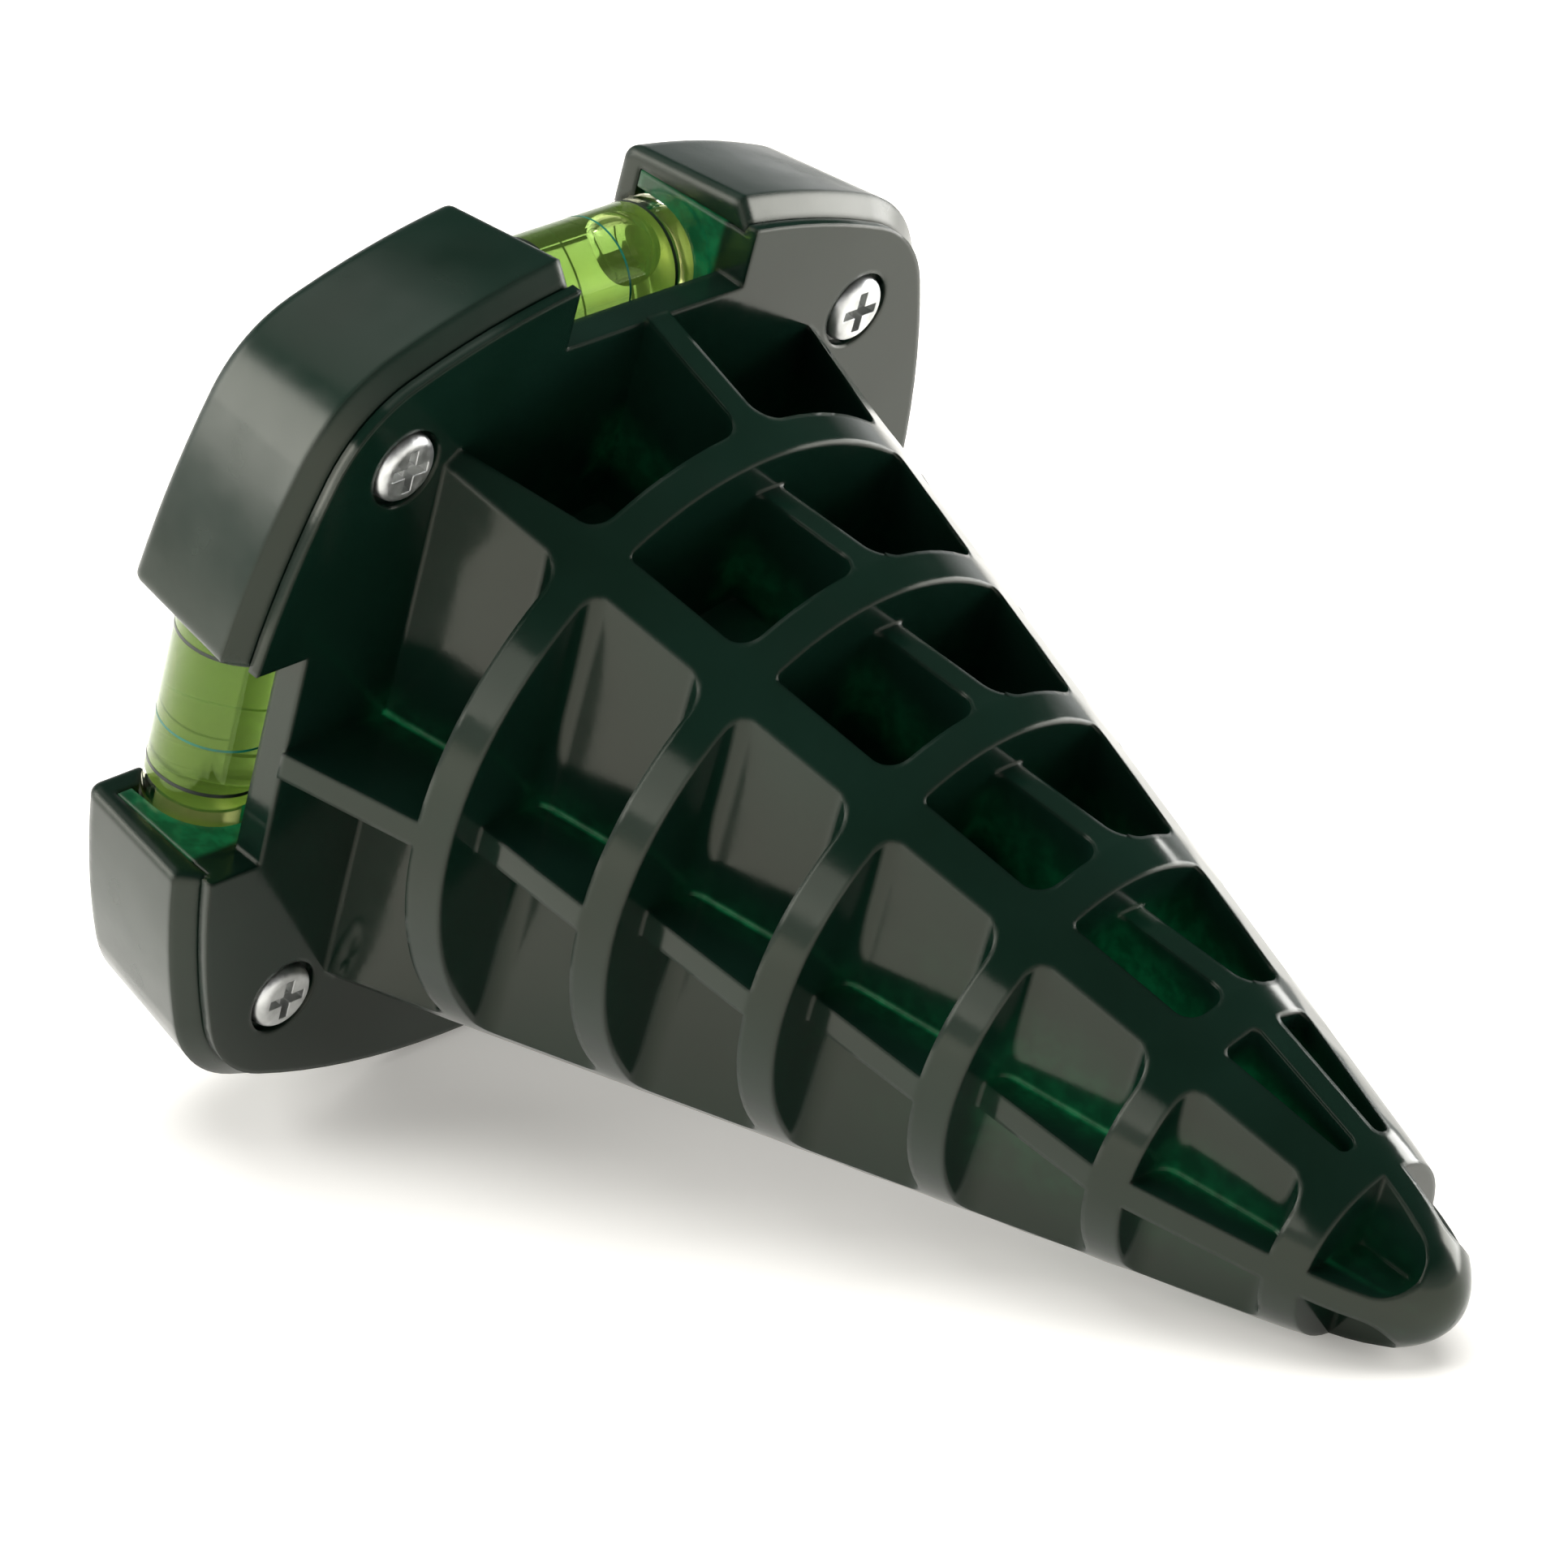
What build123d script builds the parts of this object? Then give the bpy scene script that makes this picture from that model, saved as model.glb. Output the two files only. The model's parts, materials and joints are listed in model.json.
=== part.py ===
"""Garden ground socket: a ribbed spike with a levelling collar that holds a pole upright in soil.

Design frame: +Z runs along the spike towards its tip, the underside of the collar's flange is Z = 0,
and the collar's flat sides face X and Y, so its four lobes and screws sit on the diagonals.
Everything is modelled there, then laid down as it rests on a flat surface: on the collar's +X side and
the nose, with the tip pointing to +X and slightly down, and the two levelling vials on top (+Z) and on
the -Y side. The origin is the middle of the laid-down part's bounding box, on the ground.
"""
from build123d import *
from math import atan2, cos, degrees, radians, sin
import os

# ---- Driving dimensions, millimetres ----
# Spike envelope
ROOT_RADIUS = 44.0            # cone radius at the flange's underside
CONE_SLOPE = 0.2862           # radius lost per millimetre towards the tip
TIP_Z = 128.7                 # end of the nose
NOSE_START_Z = 112.5          # where the cone turns into the nose
NOSE_SHOULDER = 6.5           # length of the nose curve's handle along the cone
NOSE_FLATNESS = 6.0           # length of its handle across the end
# Ribs
RING_COUNT = 6
FIRST_RING_Z = 16.1           # collar-side face of the first ring
RING_PITCH = 19.28
RING_THICKNESS = 4.0
WALL_RATIO = 0.655            # outer face of a side wall, as a share of the cone's radius
WALL_THICKNESS = 4.0
FLANGE_WALL_THICKNESS = 2.0   # side wall where it meets the flange
PLATE_THICKNESS = 3.2         # the two crossed plates, whose edges are the thin fins
TIP_POCKET_END_Z = 125.4
CORNER_ROUNDING = 3.0         # pocket corners on the tip side
CORNER_SOFTENING = 0.8        # pocket corners on the collar side
LARGEST_CORNER = 0.45         # pocket corner rounding, as a share of the pocket's width at most
FIN_RELIEF_EXTRA = 2.0        # width of the fin cutter past the plate
POCKET_FLOOR_ROUNDING = 2.2   # where a shallow pocket's floor meets a ring
# Collar
SIDE_DISTANCE = 51.5          # middle of a side of the flange to the axis
SIDE_ARC_RADIUS = 101.0       # the sides bulge slightly
LOBE_RADIUS = 16.0
LIP_THICKNESS = 1.6           # flange rim that the cap closes against
FLANGE_THICKNESS = 3.8
FLANGE_STEP = 1.2             # the flange below its lip is this much smaller, to sit inside the cap
BEVEL_GROWTH = 2.25           # widest line of the cap, outside the flange's outline
BEVEL_Z = -3.4
CAP_TOP_GROWTH = -0.3
CAP_TOP_Z = -20.35
CAP_TOP_WALL = 3.0
CAP_INNER_TOP_GROWTH = -2.0
CAP_TOP_ROUNDING = 2.0
CAP_NOTCH_ROUNDING = 1.0      # outer corners of the cap beside a notch
PARTING_GAP = 0.3             # open line around the collar between cap and flange
PARTING_DEPTH = 0.6
FIT_GAP = 0.15
# Notches for the vials in the -X and -Y sides
NOTCH_HALF_WIDTH = 13.5
NOTCH_FLOOR = 43.4            # flange edge in a notch to the axis
CAP_NOTCH_FLOOR = 32.6        # cap's wall behind a vial to the axis
NOTCH_WALL = 1.6
CRADLE_WIDTH = 3.5            # block at each end of a vial
VIAL_SLOT_WIDTH = 6.4         # open line in the cap's top wall under each end of a vial
# Pole socket
POLE_RADIUS = 17.5
SOCKET_WALL = 3.0
SOCKET_END_Z = 32.0
SOCKET_FLOOR = 4.0
MOUTH_CHAMFER = 1.2
# Pan-head screws with a cross recess
SCREW_CIRCLE_RADIUS = 49.0
SCREW_HEAD_RADIUS = 4.0
SCREW_HEAD_HEIGHT = 2.2
SCREW_RADIUS = 1.9
SCREW_LENGTH = 14.0
COUNTERBORE_DEPTH = 1.6
COUNTERBORE_RADIUS = 4.6
SCREW_HOLE_RADIUS = 2.2
RECESS_WIDTH = 1.2
RECESS_LENGTH = 5.0
RECESS_DEPTH = 1.4
BOSS_RADIUS = 5.0
PILOT_EXTRA = 1.0             # blind hole past the screw's end
HEAD_ROUNDING = 1.3
SCREW_TIP_RADIUS = 0.5
# Levelling vials
VIAL_AXIS_DISTANCE = 39.8     # vial axis to the spike's axis
VIAL_AXIS_Z = -13.4
VIAL_RADIUS = 6.6
VIAL_LENGTH = 30.0
VIAL_BORE_RADIUS = 4.8
VIAL_END_WALL = 2.0
VIAL_ROUNDING = 0.6
PLUG_LENGTH = 2.5
BUBBLE_RADIUS = 2.5
BUBBLE_CLEARANCE = 0.25
TOP_BUBBLE_LENGTH = 8.5
TOP_BUBBLE_REST = 7.6         # from the vial's middle, towards its plug
SIDE_BUBBLE_LENGTH = 5.5
VIAL_GAP = 0.05

LAST_RING_END = FIRST_RING_Z + RING_PITCH * (RING_COUNT - 1) + RING_THICKNESS
REACH = 2 * ROOT_RADIUS       # past everything, for cutters
CAVITY_LENGTH = VIAL_LENGTH - VIAL_END_WALL - PLUG_LENGTH
CAVITY_START = -VIAL_LENGTH / 2 + VIAL_END_WALL
CAVITY_END = CAVITY_START + CAVITY_LENGTH
SIDE_BUBBLE_REST = CAVITY_START + SIDE_BUBBLE_LENGTH / 2 + BUBBLE_CLEARANCE
TOUCH_STEPS = 50              # points tried along the nose to find where it touches the ground
TOLERANCE = 1e-6
UPWARDS = (Align.CENTER, Align.CENTER, Align.MIN)
DOWNWARDS = (Align.CENTER, Align.CENTER, Align.MAX)


def cone_radius(z):
    return ROOT_RADIUS - CONE_SLOPE * z


def ring_start(index):
    return FIRST_RING_Z + RING_PITCH * index


def turned(shape, quarter):
    return Rot(0, 0, 90 * quarter) * shape


# ---- Spike ----
def nose_curve():
    """Profile of the nose in the XZ plane, from the cone to the tip."""
    nose_radius = cone_radius(NOSE_START_Z)
    return Bezier(
        (nose_radius, 0, NOSE_START_Z),
        (nose_radius - CONE_SLOPE * NOSE_SHOULDER, 0, NOSE_START_Z + NOSE_SHOULDER),
        (NOSE_FLATNESS, 0, TIP_Z),
        (0, 0, TIP_Z),
    )


def spike_envelope():
    outline = [
        Line((0, 0, 0), (ROOT_RADIUS, 0, 0)),
        Line((ROOT_RADIUS, 0, 0), (cone_radius(NOSE_START_Z), 0, NOSE_START_Z)),
        nose_curve(),
        Line((0, 0, TIP_Z), (0, 0, 0)),
    ]
    return revolve(make_face(Wire(outline)), Axis.Z)


def wall_face(z):
    return WALL_RATIO * cone_radius(z)


def deep_pocket(low, high):
    """Pocket that opens towards +X, between the middle plate and the +Y side wall."""
    half = PLATE_THICKNESS / 2
    thickness = WALL_THICKNESS if low > 0 else FLANGE_WALL_THICKNESS
    points = [(half, low), (wall_face(low) - thickness, low),
              (wall_face(high) - WALL_THICKNESS, high), (half, high)]
    section = make_face(Polyline(*points, close=True).edges())
    tips = [v for v in section.vertices() if v.Y > (low + high) / 2]
    rounding = min(CORNER_ROUNDING, LARGEST_CORNER * (wall_face(high) - WALL_THICKNESS - half))
    section = fillet(tips, rounding)
    if low > 0:
        section = fillet([v for v in section.vertices() if v.Y < low + CORNER_SOFTENING], CORNER_SOFTENING)
    return Pos(half, 0, 0) * extrude(Plane.YZ * section, REACH)


def shallow_pocket(low, high):
    """Pocket that opens towards +Y, outside the +Y side wall and beside the other plate."""
    half = PLATE_THICKNESS / 2
    points = [(wall_face(low), low), (REACH, low), (REACH, high), (wall_face(high), high)]
    section = make_face(Polyline(*points, close=True).edges())
    inner = [v for v in section.vertices() if v.X < REACH / 2 and v.Y > 0]
    section = fillet(inner, POCKET_FLOOR_ROUNDING)
    return Pos(half, 0, 0) * extrude(Plane.YZ * section, REACH)


def fin_relief(low, high):
    """Takes the fins between two rings back to the far ring's radius."""
    outer = Cylinder(REACH, high - low, align=UPWARDS)
    inner = Cylinder(cone_radius(high), high - low, align=UPWARDS)
    sleeve = Pos(0, 0, low) * (outer - inner)
    width = PLATE_THICKNESS + FIN_RELIEF_EXTRA
    bars = Pos(0, 0, low) * (Box(2 * REACH, width, high - low, align=UPWARDS)
                             + Box(width, 2 * REACH, high - low, align=UPWARDS))
    return sleeve & bars


def both_mirrors(shape):
    """The shape and its images in the XZ and YZ planes."""
    copies = [shape, mirror(shape, Plane.XZ)]
    return copies + [mirror(s, Plane.YZ) for s in copies]


def tip_pockets():
    half = PLATE_THICKNESS / 2
    height = TIP_POCKET_END_Z - LAST_RING_END
    block = Pos(half, half, LAST_RING_END) * Box(REACH, REACH, height, align=Align.MIN)
    end_edges = block.edges().group_by(Axis.Z)[-1].filter_by(
        lambda e: min(abs(e.center().X - half), abs(e.center().Y - half)) < TOLERANCE)
    block = fillet(end_edges, CORNER_ROUNDING)
    return both_mirrors(block)


def bays():
    """Start and end height of each row of pockets, the first one from the flange."""
    starts = [0.0] + [ring_start(i) + RING_THICKNESS for i in range(RING_COUNT - 1)]
    ends = [ring_start(i) for i in range(RING_COUNT)]
    return list(zip(starts, ends))


def spike_cone():
    cutters = []
    for low, high in bays():
        cutters += both_mirrors(deep_pocket(low, high)) + both_mirrors(shallow_pocket(low, high))
    for low, high in bays()[1:-1]:
        cutters.append(fin_relief(low, high))
    cutters += tip_pockets()
    cone = spike_envelope() - cutters
    socket = Cylinder(POLE_RADIUS + SOCKET_WALL, SOCKET_END_Z + SOCKET_FLOOR,
                      align=UPWARDS)
    return cone + socket


# ---- Collar ----
def collar_outline(grow=0.0):
    """Rounded square with slightly bulging sides, flats facing X and Y."""
    radius = SIDE_ARC_RADIUS + grow
    offset = SIDE_ARC_RADIUS - SIDE_DISTANCE
    disc = Pos(-offset, 0) * Circle(radius)
    shape = disc & (Pos(offset, 0) * Circle(radius)) & (Pos(0, -offset) * Circle(radius)) \
        & (Pos(0, offset) * Circle(radius))
    return fillet(shape.vertices(), LOBE_RADIUS + grow)


def collar_slab(low, high, grow=0.0):
    return Pos(0, 0, low) * extrude(collar_outline(grow), high - low)


def notch_cutter(floor, low, high, half_width=NOTCH_HALF_WIDTH):
    """Block that opens the -X side from a floor distance outwards."""
    return Pos(-floor, 0, low) * Box(REACH, 2 * half_width, high - low,
                                     align=(Align.MAX, Align.CENTER, Align.MIN))


def vial_sides(shape):
    """A shape made for the -X side, and its copy for the -Y side."""
    return [shape, turned(shape, 1)]


def lobe_points(radius=SCREW_CIRCLE_RADIUS):
    return [(radius * cos(radians(a)), radius * sin(radians(a))) for a in (225, 135, 315, 45)]


def vial_bed(radius, length):
    """Cylinder along the -X side's vial axis."""
    return Pos(-VIAL_AXIS_DISTANCE, 0, VIAL_AXIS_Z) * Rot(90, 0, 0) * Cylinder(radius, length)


def collar_taper(sections):
    """Solid through the collar's outline at a list of (height, growth), with straight sides between."""
    return loft([Pos(0, 0, z) * collar_outline(grow) for z, grow in sections], ruled=True)


def cap_cavity(bottom, gap=0.0):
    """The cap's inside, from its top wall to the flange, smaller by a gap all round."""
    top = CAP_TOP_Z + CAP_TOP_WALL + gap
    return collar_taper([(top, CAP_INNER_TOP_GROWTH - gap), (bottom, -FLANGE_STEP + FIT_GAP - gap)])


def flange():
    """Collar plate with a lip that closes on the cap, notches, and holes for the screws."""
    lip = collar_slab(-LIP_THICKNESS, 0)
    plate = lip + collar_slab(-FLANGE_THICKNESS, -LIP_THICKNESS, -FLANGE_STEP)
    groove_end = PARTING_GAP - LIP_THICKNESS
    plate -= collar_slab(-LIP_THICKNESS, groove_end, LIP_THICKNESS) \
        - collar_slab(-LIP_THICKNESS, groove_end, -PARTING_DEPTH)
    notches = vial_sides(notch_cutter(NOTCH_FLOOR, -2 * FLANGE_THICKNESS, FLANGE_THICKNESS))
    holes = []
    for x, y in lobe_points():
        holes.append(Pos(x, y, 0) * Cylinder(SCREW_HOLE_RADIUS, 4 * FLANGE_THICKNESS))
        holes.append(Pos(x, y, -COUNTERBORE_DEPTH) * Cylinder(COUNTERBORE_RADIUS, REACH, align=UPWARDS))
    return plate - notches - holes


def cradles():
    """Blocks under the flange that hold the ends of the vials, open towards the cap's top wall."""
    depth = -CAP_TOP_Z
    bar = notch_cutter(CAP_NOTCH_FLOOR + FIT_GAP, -depth, -LIP_THICKNESS, NOTCH_HALF_WIDTH + CRADLE_WIDTH)
    bar -= notch_cutter(0, -2 * depth, depth)
    slot = Pos(-VIAL_AXIS_DISTANCE, 0, VIAL_AXIS_Z) * Box(
        2 * (VIAL_RADIUS + VIAL_GAP), VIAL_LENGTH + 2 * VIAL_GAP, depth,
        align=DOWNWARDS)
    bar -= [slot, vial_bed(VIAL_RADIUS + VIAL_GAP, VIAL_LENGTH + 2 * VIAL_GAP)]
    room = cap_cavity(-LIP_THICKNESS, FIT_GAP)
    return [room & block for block in vial_sides(bar)]


def notch_rims(shape):
    """Edges where the ends of the notches meet the cap's outer skin."""
    def on_rim(edge):
        across, along = abs(edge.center().X), abs(edge.center().Y)
        if across < along:
            across, along = along, across
        return (abs(along - NOTCH_HALF_WIDTH) < TOLERANCE and across > CAP_NOTCH_FLOOR + TOLERANCE
                and edge.center().Z < -LIP_THICKNESS - TOLERANCE)
    return shape.edges().filter_by(on_rim)


def top_cap():
    outer = collar_taper([(CAP_TOP_Z, CAP_TOP_GROWTH), (BEVEL_Z, BEVEL_GROWTH), (-LIP_THICKNESS, 0)])
    outer = fillet(outer.edges().group_by(Axis.Z)[0], CAP_TOP_ROUNDING)
    outer -= vial_sides(notch_cutter(CAP_NOTCH_FLOOR, 2 * CAP_TOP_Z, -CAP_TOP_Z))
    outer = fillet(notch_rims(outer), CAP_NOTCH_ROUNDING)
    seat_z = -FLANGE_THICKNESS - FIT_GAP
    floor_z = CAP_TOP_Z + CAP_TOP_WALL
    height = seat_z - floor_z
    wall_length = 2 * (NOTCH_HALF_WIDTH + CRADLE_WIDTH + NOTCH_WALL)
    back_wall = Pos(-CAP_NOTCH_FLOOR, 0, floor_z) * Box(
        NOTCH_WALL, wall_length, height, align=(Align.MIN, Align.CENTER, Align.MIN))
    bosses = [Pos(x, y, floor_z) * Cylinder(BOSS_RADIUS, height, align=UPWARDS) for x, y in lobe_points()]
    pole_tube = Pos(0, 0, floor_z) * Cylinder(POLE_RADIUS + SOCKET_WALL, height, align=UPWARDS)
    cavity = cap_cavity(seat_z) - vial_sides(back_wall) - bosses - [pole_tube]
    flange_room = collar_slab(seat_z, FLANGE_THICKNESS, -FLANGE_STEP + FIT_GAP)
    slot = Pos(-VIAL_AXIS_DISTANCE, 0, VIAL_AXIS_Z) * Box(
        VIAL_SLOT_WIDTH, VIAL_LENGTH + 2 * VIAL_GAP, -CAP_TOP_Z, align=DOWNWARDS)
    bed = vial_bed(VIAL_RADIUS + VIAL_GAP, VIAL_LENGTH + 2 * VIAL_GAP)
    pilot_end = -COUNTERBORE_DEPTH - SCREW_LENGTH - PILOT_EXTRA
    pilots = [Pos(x, y, pilot_end) * Cylinder(SCREW_RADIUS + VIAL_GAP, -pilot_end, align=UPWARDS)
              for x, y in lobe_points()]
    cap = outer - [flange_room, cavity] - vial_sides(slot) - vial_sides(bed)
    return cap - pilots - pole_bore()


def pole_bore():
    """The pole's bore through the cap and flange down to the socket's floor, with a chamfered mouth."""
    length = SOCKET_END_Z - CAP_TOP_Z
    bore = Pos(0, 0, CAP_TOP_Z) * Cylinder(POLE_RADIUS, length,
                                           align=UPWARDS)
    mouth = Pos(0, 0, CAP_TOP_Z) * Cone(POLE_RADIUS + MOUTH_CHAMFER, POLE_RADIUS, MOUTH_CHAMFER,
                                        align=UPWARDS)
    return bore + mouth


def spike_body():
    return spike_cone() + flange() + cradles() - pole_bore()


# ---- Fasteners ----
def screw(x, y):
    head = Cylinder(SCREW_HEAD_RADIUS, SCREW_HEAD_HEIGHT, align=UPWARDS)
    head = fillet(head.edges().group_by(Axis.Z)[-1], HEAD_ROUNDING)
    recess = Box(RECESS_LENGTH, RECESS_WIDTH, RECESS_DEPTH, align=UPWARDS) \
        + Box(RECESS_WIDTH, RECESS_LENGTH, RECESS_DEPTH, align=UPWARDS)
    head -= Pos(0, 0, SCREW_HEAD_HEIGHT - RECESS_DEPTH) * recess
    taper = 2 * SCREW_RADIUS
    shank = Pos(0, 0, taper - SCREW_LENGTH) * Cylinder(SCREW_RADIUS, SCREW_LENGTH - taper, align=UPWARDS)
    point = Pos(0, 0, -SCREW_LENGTH) * Cone(SCREW_TIP_RADIUS, SCREW_RADIUS, taper, align=UPWARDS)
    return Pos(x, y, -COUNTERBORE_DEPTH) * (head + shank + point)


# ---- Vials, each in a frame with its axis along Z and its bubble on the +X side ----
def vial_tube():
    body = Cylinder(VIAL_RADIUS, VIAL_LENGTH)
    body = fillet(body.edges(), VIAL_ROUNDING)
    bore_length = VIAL_LENGTH - VIAL_END_WALL
    return body - Pos(0, 0, CAVITY_START) * Cylinder(VIAL_BORE_RADIUS, bore_length + VIAL_RADIUS,
                                                     align=UPWARDS)


def vial_plug():
    return Pos(0, 0, CAVITY_END) * Cylinder(VIAL_BORE_RADIUS - VIAL_GAP, PLUG_LENGTH,
                                            align=UPWARDS)


def bubble_offset():
    return VIAL_BORE_RADIUS - BUBBLE_RADIUS - BUBBLE_CLEARANCE - VIAL_GAP


def vial_fluid():
    """The liquid, without the track along its top that the bubble runs in."""
    column = Pos(0, 0, CAVITY_START + VIAL_GAP) * Cylinder(
        VIAL_BORE_RADIUS - VIAL_GAP, CAVITY_LENGTH - 2 * VIAL_GAP,
        align=UPWARDS)
    track_radius = BUBBLE_RADIUS + BUBBLE_CLEARANCE
    track = Pos(bubble_offset(), 0, 0) * (Cylinder(track_radius, 2 * VIAL_LENGTH) + Box(
        VIAL_RADIUS, 2 * track_radius, 2 * VIAL_LENGTH, align=(Align.MIN, Align.CENTER, Align.CENTER)))
    return column - track


def vial_bubble(length, rest):
    straight = length - 2 * BUBBLE_RADIUS
    ends = [Pos(0, 0, side * straight / 2) * Sphere(BUBBLE_RADIUS) for side in (-1, 1)]
    return Pos(bubble_offset(), 0, rest) * (Cylinder(BUBBLE_RADIUS, straight) + ends[0] + ends[1])


# name: (middle of the vial, its bubble's side, its axis towards the plug, bubble's length and rest place)
VIALS = {
    "top": (Vector(-VIAL_AXIS_DISTANCE, 0, VIAL_AXIS_Z), Vector(-1, 0, 0), Vector(0, 1, 0),
            TOP_BUBBLE_LENGTH, TOP_BUBBLE_REST),
    "side": (Vector(0, -VIAL_AXIS_DISTANCE, VIAL_AXIS_Z), Vector(0, 0, -1), Vector(1, 0, 0),
             SIDE_BUBBLE_LENGTH, SIDE_BUBBLE_REST),
}


def vial_nodes():
    nodes = {}
    for name, (centre, bubble_side, axis, length, rest) in VIALS.items():
        place = Plane(origin=centre, x_dir=bubble_side, z_dir=axis).location
        nodes[f"{name}_vial_tube"] = place * vial_tube()
        nodes[f"{name}_vial_plug"] = place * vial_plug()
        nodes[f"{name}_vial_fluid"] = place * vial_fluid()
        nodes[f"{name}_vial_bubble"] = place * vial_bubble(length, rest)
    return nodes


# ---- Laying the part down ----
def rest_tilt():
    """How far the axis dips towards the tip when the collar's side and the nose both touch the ground."""
    edge = SIDE_DISTANCE + BEVEL_GROWTH
    nose = nose_curve()
    touches = [nose @ (step / TOUCH_STEPS) for step in range(TOUCH_STEPS)]
    return degrees(min(atan2(edge - point.X, point.Z - BEVEL_Z) for point in touches))


def main():
    nodes = {"spike_body": spike_body(), "top_cap": top_cap()}
    for name, (x, y) in zip(("front", "upper_rear", "lower_front", "lower_rear"), lobe_points()):
        nodes[f"{name}_screw"] = screw(x, y)
    nodes.update(vial_nodes())
    os.makedirs("parts", exist_ok=True)
    lay = Rot(0, 90 + rest_tilt(), 0)
    laid = {name: lay * shape for name, shape in nodes.items()}
    box = laid["spike_body"].bounding_box().add(laid["top_cap"].bounding_box())
    shift = Pos(-(box.min.X + box.max.X) / 2, -(box.min.Y + box.max.Y) / 2, -box.min.Z)
    for name, shape in laid.items():
        export_step(shift * shape, f"parts/{name}.step")
        print(name, round(shape.volume, 1))
    print("tilt", round(rest_tilt(), 3), "shift", shift.position)


main()
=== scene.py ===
"""Looks for the garden ground socket: dark bottle-green mouldings, zinc screws and levelling vials.

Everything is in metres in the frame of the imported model. The spike's own frame is used for places: its
origin is the middle of the collar flange's underside, TIP points along the spike, UP points out of the
collar's upper side and SIDE out of the side that holds the second vial.
"""
import bpy
import bmesh
import json
import math
from mathutils import Matrix, Vector


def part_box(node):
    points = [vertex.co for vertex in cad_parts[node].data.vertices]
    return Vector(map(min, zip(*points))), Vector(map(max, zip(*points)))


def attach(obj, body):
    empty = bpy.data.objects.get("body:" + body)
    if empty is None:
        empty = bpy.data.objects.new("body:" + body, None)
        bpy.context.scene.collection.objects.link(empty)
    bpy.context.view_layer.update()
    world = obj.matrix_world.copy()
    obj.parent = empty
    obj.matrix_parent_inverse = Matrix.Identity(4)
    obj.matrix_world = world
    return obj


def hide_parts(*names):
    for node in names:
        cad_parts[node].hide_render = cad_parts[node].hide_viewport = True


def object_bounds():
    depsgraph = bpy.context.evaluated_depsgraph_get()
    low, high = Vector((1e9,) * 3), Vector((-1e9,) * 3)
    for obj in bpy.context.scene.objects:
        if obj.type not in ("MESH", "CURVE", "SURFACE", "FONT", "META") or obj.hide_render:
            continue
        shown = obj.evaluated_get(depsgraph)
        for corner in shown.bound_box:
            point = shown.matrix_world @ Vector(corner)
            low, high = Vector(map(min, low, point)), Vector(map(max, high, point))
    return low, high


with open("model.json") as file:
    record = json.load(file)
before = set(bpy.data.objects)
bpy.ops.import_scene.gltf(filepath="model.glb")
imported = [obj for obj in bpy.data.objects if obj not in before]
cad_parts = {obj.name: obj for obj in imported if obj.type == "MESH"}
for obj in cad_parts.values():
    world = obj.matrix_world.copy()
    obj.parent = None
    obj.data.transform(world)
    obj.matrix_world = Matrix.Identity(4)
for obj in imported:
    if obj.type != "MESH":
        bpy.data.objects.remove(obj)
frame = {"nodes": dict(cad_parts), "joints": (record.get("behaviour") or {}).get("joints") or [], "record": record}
cad_low, cad_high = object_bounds()

MM = 0.001

# ---- The spike's frame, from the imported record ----
SOCKET_MOUNT = next(m for m in frame["record"]["mounts"] if m["name"] == "pole_socket")
SIDE_SLIDE = next(j for j in frame["joints"] if j["name"] == "side_bubble_slide")
MOUNT_DEPTH = 10 * MM          # the mount's point is this far past the flange's underside
TIP = -Vector(SOCKET_MOUNT["axis"]).normalized()
UP = Vector(SIDE_SLIDE["axis"]).normalized()
SIDE = TIP.cross(UP)
ORIGIN = Vector(SOCKET_MOUNT["pos_m"]) - TIP * MOUNT_DEPTH


def place(along, up, side):
    """Point in the row frame from distances in millimetres in the spike's frame."""
    return ORIGIN + (TIP * along + UP * up + SIDE * side) * MM


# ---- Materials ----
def new_material(name):
    material = bpy.data.materials.new(name)
    material.use_nodes = True
    nodes = material.node_tree.nodes
    return material, nodes, material.node_tree.links, nodes["Principled BSDF"]


def set_inputs(node, **values):
    for key, value in values.items():
        node.inputs[key.replace("_", " ")].default_value = value


def noise(nodes, links, scale, detail=3.0):
    """Object-space noise, so the pattern stays with the piece."""
    coords = nodes.new("ShaderNodeTexCoord")
    texture = nodes.new("ShaderNodeTexNoise")
    set_inputs(texture, Scale=scale, Detail=detail)
    links.new(coords.outputs["Object"], texture.inputs["Vector"])
    return texture.outputs["Fac"]


def ramp(nodes, links, source, low, high, low_at=0.3, high_at=0.7):
    node = nodes.new("ShaderNodeValToRGB")
    node.color_ramp.elements[0].position = low_at
    node.color_ramp.elements[0].color = low
    node.color_ramp.elements[1].position = high_at
    node.color_ramp.elements[1].color = high
    links.new(source, node.inputs["Fac"])
    return node.outputs["Color"]


def grey(value):
    return (value, value, value, 1)


def rounded_normal(nodes, links, radius):
    bevel = nodes.new("ShaderNodeBevel")
    bevel.samples = 4
    bevel.inputs["Radius"].default_value = radius
    return bevel.outputs["Normal"]


def bumped(nodes, links, height, strength, distance, normal=None):
    bump = nodes.new("ShaderNodeBump")
    set_inputs(bump, Strength=strength, Distance=distance)
    links.new(height, bump.inputs["Height"])
    if normal is not None:
        links.new(normal, bump.inputs["Normal"])
    return bump.outputs["Normal"]


def math_node(nodes, links, operation, first, second):
    """Math node over two sockets or numbers."""
    node = nodes.new("ShaderNodeMath")
    node.operation = operation
    for value, socket in zip((first, second), node.inputs):
        if isinstance(value, (int, float)):
            socket.default_value = value
        else:
            links.new(value, socket)
    return node.outputs["Value"]


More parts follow.
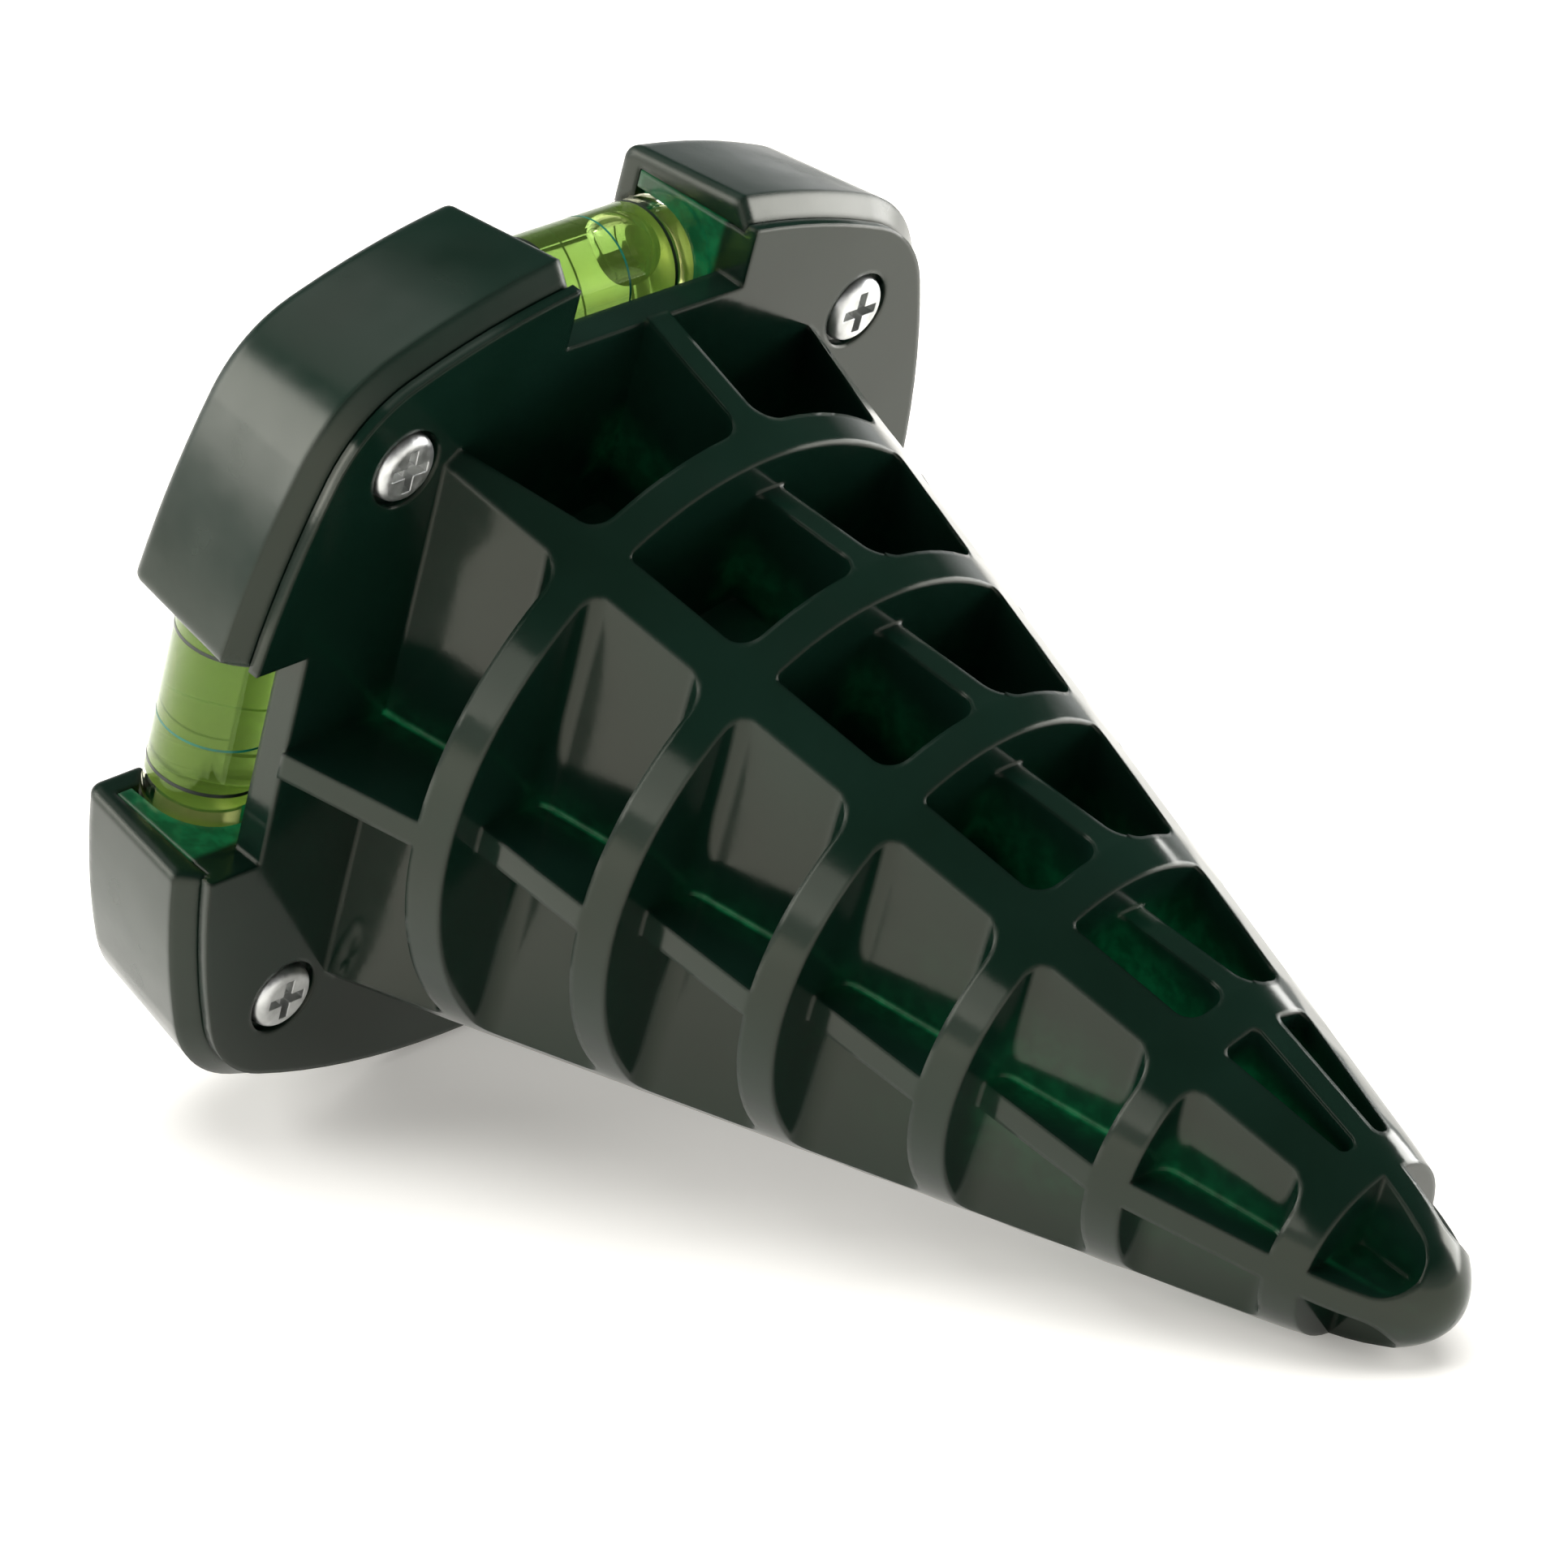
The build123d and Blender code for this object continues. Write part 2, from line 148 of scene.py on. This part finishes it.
def vector_node(nodes, links, operation, first, second=None):
    node = nodes.new("ShaderNodeVectorMath")
    node.operation = operation
    for value, socket in zip((first, second), node.inputs):
        if isinstance(value, Vector):
            socket.default_value = value
        elif value is not None:
            links.new(value, socket)
    return node.outputs["Value" if operation in ("DOT_PRODUCT", "LENGTH") else "Vector"]


def map_range(nodes, links, value, low, high, to_low=0.0, to_high=1.0):
    node = nodes.new("ShaderNodeMapRange")
    node.interpolation_type = "SMOOTHSTEP"
    for key, number in (("From Min", low), ("From Max", high), ("To Min", to_low), ("To Max", to_high)):
        node.inputs[key].default_value = number
    links.new(value, node.inputs["Value"])
    return node.outputs["Result"]


# The spike's own sizes, in millimetres, for where painted glow stands in for light through its plastic
CONE_RADIUS, CONE_SLOPE = 44.0, 0.2862
WALL_RATIO = 0.655             # side walls, as a share of the cone's radius
HALF_PLATE = 1.6               # half the thickness of the crossed plates
CRADLE_TOP = -4.0              # everything of the spike past this, away from the tip, is a vial's cradle


def painted_cell_glow(nodes, links):
    """Painted glow, standing in for light through the plastic: in cells near the tip, in corners and in the
    cradles.
    """
    def maths(operation, first, second=0.0):
        return math_node(nodes, links, operation, first, second)

    def span(value, *limits):
        return map_range(nodes, links, value, *limits)

    coords = nodes.new("ShaderNodeTexCoord")
    offset = vector_node(nodes, links, "SUBTRACT", coords.outputs["Object"], ORIGIN)
    along, across, aside = (
        maths("MULTIPLY", vector_node(nodes, links, "DOT_PRODUCT", offset, direction), 1 / MM)
        for direction in (TIP, UP, SIDE))
    across, aside = maths("ABSOLUTE", across), maths("ABSOLUTE", aside)
    radius = maths("SQRT", maths("ADD", maths("MULTIPLY", across, across), maths("MULTIPLY", aside, aside)))
    envelope = maths("ADD", maths("MULTIPLY", along, -CONE_SLOPE), CONE_RADIUS)
    inside = span(maths("SUBTRACT", envelope, radius), 1.5, 8.0)
    near_tip = span(along, 55.0, 108.0, 0.02, 1.0)
    before_nose = span(along, 108.0, 116.0, 1.0, 0.12)
    from_wall = maths("ABSOLUTE", maths("SUBTRACT", maths("MAXIMUM", across, aside),
                                        maths("MULTIPLY", envelope, WALL_RATIO)))
    from_plate = maths("ABSOLUTE", maths("SUBTRACT", maths("MINIMUM", across, aside), HALF_PLATE))
    corner = maths("MAXIMUM", from_wall, from_plate)
    lines = maths("MULTIPLY", span(corner, 0.1, 0.8, 0.55, 0.0), maths("GREATER_THAN", aside, across))
    halo = span(corner, 0.4, 5.0, 0.07, 0.0)
    cells = maths("MULTIPLY", maths("MULTIPLY", near_tip, before_nose), 0.45)
    cells = maths("ADD", cells, maths("ADD", lines, halo))
    cradles = span(along, CRADLE_TOP - 1.0, CRADLE_TOP, 0.8, 0.0)
    return maths("ADD", maths("MULTIPLY", inside, cells), cradles)


GREEN_DARK, GREEN_LIGHT = (0.0021, 0.0096, 0.0056, 1), (0.0032, 0.0132, 0.0084, 1)
GREEN_SHEEN = (1.0, 0.97, 0.84, 1)
# Painted glow: emission colour and strength that stand in for light shining through the thin plastic
PAINTED_GLOW_GREEN = (0.012, 0.40, 0.13, 1)
PAINTED_GLOW_STRENGTH = 0.22


def green_moulding(name, edge_radius, roughness, glow=None):
    """Glossy dark bottle-green plastic, slightly wavy as moulded, with a painted emerald glow where it is thin."""
    material, nodes, links, surface = new_material(name)
    tint = ramp(nodes, links, noise(nodes, links, 60), GREEN_DARK, GREEN_LIGHT)
    links.new(tint, surface.inputs["Base Color"])
    if glow is not None:
        # Painted glow: the plastic emits emerald light where it is thin, though it is no lamp
        cloud = map_range(nodes, links, noise(nodes, links, 500, 5.0), 0.35, 0.70, 0.6, 1.3)
        strength = math_node(nodes, links, "MULTIPLY", glow(nodes, links), cloud)
        strength = math_node(nodes, links, "MULTIPLY", strength, PAINTED_GLOW_STRENGTH)
        links.new(strength, surface.inputs["Emission Strength"])
        surface.inputs["Emission Color"].default_value = PAINTED_GLOW_GREEN
    rough = ramp(nodes, links, noise(nodes, links, 180), *(grey(value) for value in roughness))
    links.new(rough, surface.inputs["Roughness"])
    set_inputs(surface, Specular_IOR_Level=0.37, Specular_Tint=GREEN_SHEEN)
    waves = noise(nodes, links, 38, 1.0)
    normal = bumped(nodes, links, waves, 0.30, 0.0008, rounded_normal(nodes, links, edge_radius))
    grain = noise(nodes, links, 900, 2.0)
    normal = bumped(nodes, links, grain, 0.05, 0.0001, normal)
    links.new(normal, surface.inputs["Normal"])
    return material


def zinc_plate():
    """Bright zinc: fine directional scratches and cloudy variation."""
    material, nodes, links, surface = new_material("zinc_plate")
    tint = ramp(nodes, links, noise(nodes, links, 500), (0.50, 0.51, 0.50, 1), (0.72, 0.73, 0.72, 1))
    links.new(tint, surface.inputs["Base Color"])
    rough = ramp(nodes, links, noise(nodes, links, 1200), grey(0.30), grey(0.48))
    links.new(rough, surface.inputs["Roughness"])
    set_inputs(surface, Metallic=1.0)
    scratches = noise(nodes, links, 2500, 4.0)
    normal = bumped(nodes, links, scratches, 0.15, 0.0001, rounded_normal(nodes, links, 0.00025))
    links.new(normal, surface.inputs["Normal"])
    return material


def clear_plastic(name, tint, roughness=0.03, ior=1.49, weight=1.0, sheen=(1, 1, 1, 1)):
    material, nodes, links, surface = new_material(name)
    cloud = ramp(nodes, links, noise(nodes, links, 300), tint, tuple(0.94 * c for c in tint[:3]) + (1,))
    links.new(cloud, surface.inputs["Base Color"])
    set_inputs(surface, Roughness=roughness, IOR=ior, Transmission_Weight=weight, Specular_Tint=sheen)
    flow = noise(nodes, links, 250, 1.0)
    links.new(bumped(nodes, links, flow, 0.05, 0.0002), surface.inputs["Normal"])
    return material


VIAL_SHEEN = (0.60, 0.85, 0.30, 1)
PAINTED_LIQUID_GLOW = (0.42, 0.66, 0.14, 1)
LIQUID_ABSORPTION, LIQUID_DENSITY = (0.43, 0.58, 0.25, 1), 250


def vial_fluid():
    """Yellow-green liquid with a faint painted glow: it darkens to green with depth."""
    material, nodes, links, surface = new_material("vial_fluid_green")
    cloud = ramp(nodes, links, noise(nodes, links, 90), (0.93, 0.96, 0.62, 1), (0.72, 0.94, 0.74, 1))
    links.new(cloud, surface.inputs["Base Color"])
    # Painted glow: a faint yellow-green emission from the liquid, though it is no lamp
    set_inputs(surface, Roughness=0.04, IOR=1.36, Transmission_Weight=1.0, Specular_Tint=VIAL_SHEEN,
               Emission_Strength=0.09)
    surface.inputs["Emission Color"].default_value = PAINTED_LIQUID_GLOW
    absorption = nodes.new("ShaderNodeVolumeAbsorption")
    absorption.inputs["Color"].default_value = LIQUID_ABSORPTION
    absorption.inputs["Density"].default_value = LIQUID_DENSITY
    links.new(absorption.outputs["Volume"], nodes["Material Output"].inputs["Volume"])
    return material


def ink(name, colour):
    material, nodes, links, surface = new_material(name)
    tint = ramp(nodes, links, noise(nodes, links, 900), colour, tuple(1.6 * c for c in colour[:3]) + (1,))
    links.new(tint, surface.inputs["Base Color"])
    set_inputs(surface, Roughness=0.35)
    links.new(bumped(nodes, links, noise(nodes, links, 2500), 0.1, 0.0001), surface.inputs["Normal"])
    return material


BODY_GREEN = green_moulding("spike_green", 0.0008, (0.09, 0.16), painted_cell_glow)
CAP_GREEN = green_moulding("cap_green", 0.0011, (0.20, 0.28))
ZINC = zinc_plate()
ACRYLIC = clear_plastic("vial_acrylic", (0.95, 0.97, 0.74, 1), sheen=VIAL_SHEEN)
PLUG = clear_plastic("vial_plug_resin", (0.92, 0.93, 0.55, 1), roughness=0.12, weight=0.8)
FLUID = vial_fluid()
AIR = clear_plastic("vial_air", (1.0, 1.0, 0.97, 1), roughness=0.0, ior=0.735)
INKS = {"black": ink("mark_black", (0.006, 0.010, 0.006, 1)), "teal": ink("mark_teal", (0.0, 0.09, 0.06, 1))}

NODE_MATERIALS = {"spike_body": BODY_GREEN, "top_cap": CAP_GREEN}
for node_name in frame["nodes"]:
    if node_name.endswith("_screw"):
        NODE_MATERIALS[node_name] = ZINC
for vial_name in ("top", "side"):
    NODE_MATERIALS[f"{vial_name}_vial_tube"] = ACRYLIC
    NODE_MATERIALS[f"{vial_name}_vial_plug"] = PLUG
for node_name, material in NODE_MATERIALS.items():
    slots = frame["nodes"][node_name].data.materials
    slots.clear()
    slots.append(material)


# ---- Vials: liquid, bubble and marks ----
TUBE_RADIUS, BORE_RADIUS = 6.6, 4.8
LIQUID_OVERLAP = 0.04          # the liquid wets the bore, so its surface lies just inside the wall
LIQUID_CORNER = 0.8
BUBBLE_RADIUS, BUBBLE_GAP = 3.0, 0.1
BUBBLE_BLUNTNESS = 0.7         # below 1, the ends of a bubble are blunter than an ellipse's
MARKS = {"black": (0.22, 0.035), "teal": (0.14, 0.025)}     # half width and thickness
TURN_STEPS = 96
# vial: axis, the side that the bubble is on, ends of the liquid, bubble's middle and half length, marks
VIALS = {
    "top": (-SIDE, UP, (-13.0, 12.5), 7.6, 4.25, {"black": (-6.3, 10.9), "teal": (3.7,)}),
    "side": (UP, -TIP, (-12.5, 13.0), 10.0, 2.75, {"black": (7.7, -9.5), "teal": (-3.6,)}),
}


def turned_piece(name, profile, centre, axis, material, closed=False):
    """Solid of revolution. profile is a list of (place along the axis, radius), in millimetres."""
    sideways = axis.orthogonal().normalized()
    other = axis.cross(sideways)
    mesh = bmesh.new()
    rings = []
    for along, radius in profile:
        if radius == 0:
            rings.append([mesh.verts.new(centre + axis * along * MM)])
            continue
        ring = []
        for step in range(TURN_STEPS):
            angle = 2 * math.pi * step / TURN_STEPS
            spoke = sideways * math.cos(angle) + other * math.sin(angle)
            ring.append(mesh.verts.new(centre + (axis * along + spoke * radius) * MM))
        rings.append(ring)
    pairs = list(zip(rings, rings[1:]))
    if closed:
        pairs.append((rings[-1], rings[0]))
    for first, second in pairs:
        for step in range(TURN_STEPS):
            following = (step + 1) % TURN_STEPS
            corners = [first[step % len(first)], first[following % len(first)],
                       second[following % len(second)], second[step % len(second)]]
            mesh.faces.new(list(dict.fromkeys(corners)))
    bmesh.ops.recalc_face_normals(mesh, faces=mesh.faces)
    data = bpy.data.meshes.new(name)
    mesh.to_mesh(data)
    mesh.free()
    for face in data.polygons:
        face.use_smooth = True
    data.materials.append(material)
    piece = bpy.data.objects.new(name, data)
    bpy.context.scene.collection.objects.link(piece)
    return piece


def rounded_column(low, high, radius, corner, steps=8):
    """Profile of a column with rounded ends."""
    arc = [math.pi / 2 * step / steps for step in range(steps + 1)]
    start = [(low + corner * (1 - math.sin(a)), radius - corner * (1 - math.cos(a))) for a in arc]
    start = start[::-1]
    end = [(low + high - along, r) for along, r in reversed(start)]
    return [(low, 0)] + start + end + [(high, 0)]


def blunt_drop(middle, half_length, radius, steps=24):
    """Profile of a long drop with blunt ends."""
    angles = [math.pi * step / steps for step in range(1, steps)]
    side = [(middle - half_length * math.cos(a), radius * math.sin(a) ** BUBBLE_BLUNTNESS) for a in angles]
    return [(middle - half_length, 0)] + side + [(middle + half_length, 0)]


def dress_vial(name):
    axis, bubble_side, (low, high), middle, half_length, marks = VIALS[name]
    corner_low, corner_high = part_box(f"{name}_vial_tube")
    centre = (corner_low + corner_high) / 2
    column = rounded_column(low - LIQUID_OVERLAP, high + LIQUID_OVERLAP, BORE_RADIUS + LIQUID_OVERLAP,
                            LIQUID_CORNER)
    liquid = turned_piece(f"{name}_vial_liquid", column, centre, axis, FLUID)
    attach(liquid, "socket")
    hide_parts(f"{name}_vial_fluid")
    lift = BORE_RADIUS - BUBBLE_RADIUS - BUBBLE_GAP
    profile = blunt_drop(middle, half_length, BUBBLE_RADIUS)
    bubble = turned_piece(f"{name}_vial_air_bubble", profile, centre + bubble_side * lift * MM, axis, AIR)
    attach(bubble, f"{name}_bubble")
    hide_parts(f"{name}_vial_bubble")
    for colour, places in marks.items():
        for index, along in enumerate(places, 1):
            half, thickness = MARKS[colour]
            band = [(along - half, TUBE_RADIUS), (along - half, TUBE_RADIUS + thickness),
                    (along + half, TUBE_RADIUS + thickness), (along + half, TUBE_RADIUS)]
            mark = turned_piece(f"{name}_vial_{colour}_mark_{index}", band, centre, axis,
                                INKS[colour], closed=True)
            for face in mark.data.polygons:
                face.use_smooth = False
            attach(mark, "socket")


for vial_name in VIALS:
    dress_vial(vial_name)


# ---- Studio ----
FLOOR_REACH = 3.0
FLOOR_DARK, FLOOR_LIGHT = (0.88, 0.86, 0.82, 1), (0.90, 0.88, 0.84, 1)
# Colour of the floor's painted glow
PAINTED_FLOOR_GLOW = (1, 0.97, 0.91, 1)


def studio():
    floor_mesh = bpy.data.meshes.new("floor")
    corners = [(x * FLOOR_REACH, y * FLOOR_REACH, 0) for x, y in ((-1, -1), (1, -1), (1, 1), (-1, 1))]
    floor_mesh.from_pydata(corners, [], [(0, 1, 2, 3)])
    floor = bpy.data.objects.new("floor", floor_mesh)
    bpy.context.scene.collection.objects.link(floor)
    material, nodes, links, surface = new_material("floor_white")
    tint = ramp(nodes, links, noise(nodes, links, 4), FLOOR_DARK, FLOOR_LIGHT)
    links.new(tint, surface.inputs["Base Color"])
    # Painted light and shade on the floor: its glow is weakest near the floor's middle, where the object stands,
    # and stronger farther out
    coords = nodes.new("ShaderNodeTexCoord")
    distance = vector_node(nodes, links, "LENGTH", coords.outputs["Object"])
    painted_floor_light = math_node(nodes, links, "ADD", map_range(nodes, links, distance, 0.10, 0.35, 0.24, 0.60),
                          map_range(nodes, links, distance, 0.5, 1.3, 0.0, 0.38))
    links.new(painted_floor_light, surface.inputs["Emission Strength"])
    set_inputs(surface, Roughness=0.6, Specular_IOR_Level=0.2)
    surface.inputs["Emission Color"].default_value = PAINTED_FLOOR_GLOW
    floor_mesh.materials.append(material)
    world = bpy.data.worlds.new("studio")
    world.use_nodes = True
    nodes, links = world.node_tree.nodes, world.node_tree.links
    coords = nodes.new("ShaderNodeTexCoord")
    split = nodes.new("ShaderNodeSeparateXYZ")
    links.new(coords.outputs["Generated"], split.inputs["Vector"])
    sky = ramp(nodes, links, split.outputs["Z"], grey(1.0), grey(0.07), 0.08, 0.34)
    links.new(sky, nodes["Background"].inputs["Color"])
    bpy.context.scene.world = world


def softbox(name, direction, distance, width, height, power, target, mirrored=True):
    """Area light in a direction from the target; a light that isn't mirrored shows in no reflection."""
    light = bpy.data.lights.new(name, "AREA")
    light.shape = "RECTANGLE"
    light.size = width
    light.size_y = height
    light.energy = power
    lamp = bpy.data.objects.new(name, light)
    bpy.context.scene.collection.objects.link(lamp)
    direction = Vector(direction).normalized()
    lamp.location = target + direction * distance
    lamp.visible_glossy = mirrored
    lamp.visible_transmission = mirrored
    lamp.rotation_mode = "QUATERNION"
    lamp.rotation_quaternion = direction.to_track_quat("Z", "Y")


# ---- Camera, in the spike's frame ----
CAMERA_ALONG, CAMERA_UP, CAMERA_SIDE = 373.0, 402.1, 489.0
CAMERA_LENS = 154.4
RIGHT = TIP * 0.70383 + UP * 0.22452 - SIDE * 0.67396
ABOVE = -TIP * 0.52796 + UP * 0.80009 - SIDE * 0.28481


def camera():
    data = bpy.data.cameras.new("camera")
    data.lens = CAMERA_LENS
    data.sensor_width = 36.0
    data.clip_start = 0.05
    cam = bpy.data.objects.new("camera", data)
    bpy.context.scene.collection.objects.link(cam)
    right = RIGHT.normalized()
    back = right.cross(ABOVE).normalized()
    above = back.cross(right)
    matrix = Matrix((right, above, back)).transposed().to_4x4()
    matrix.translation = place(CAMERA_ALONG, CAMERA_UP, CAMERA_SIDE)
    cam.matrix_world = matrix
    bpy.context.scene.camera = cam


studio()
CENTRE = (cad_low + cad_high) / 2
softbox("front_left", (-0.66, -0.62, 0.43), 0.9, 0.62, 0.50, 6.6, CENTRE)
softbox("front", (0.10, -0.93, 0.30), 0.9, 0.55, 0.35, 1.3, CENTRE)
softbox("overhead", (-0.1, 0.1, 1.0), 0.9, 1.2, 1.2, 17.0, CENTRE, mirrored=False)
softbox("top_fill", (-0.45, 0.0, 0.85), 0.9, 0.6, 0.5, 0.8, CENTRE)
softbox("back_right", (0.30, 0.95, 0.12), 0.9, 0.7, 0.4, 8.0, CENTRE)
camera()
bpy.context.scene.view_settings.view_transform = "Standard"
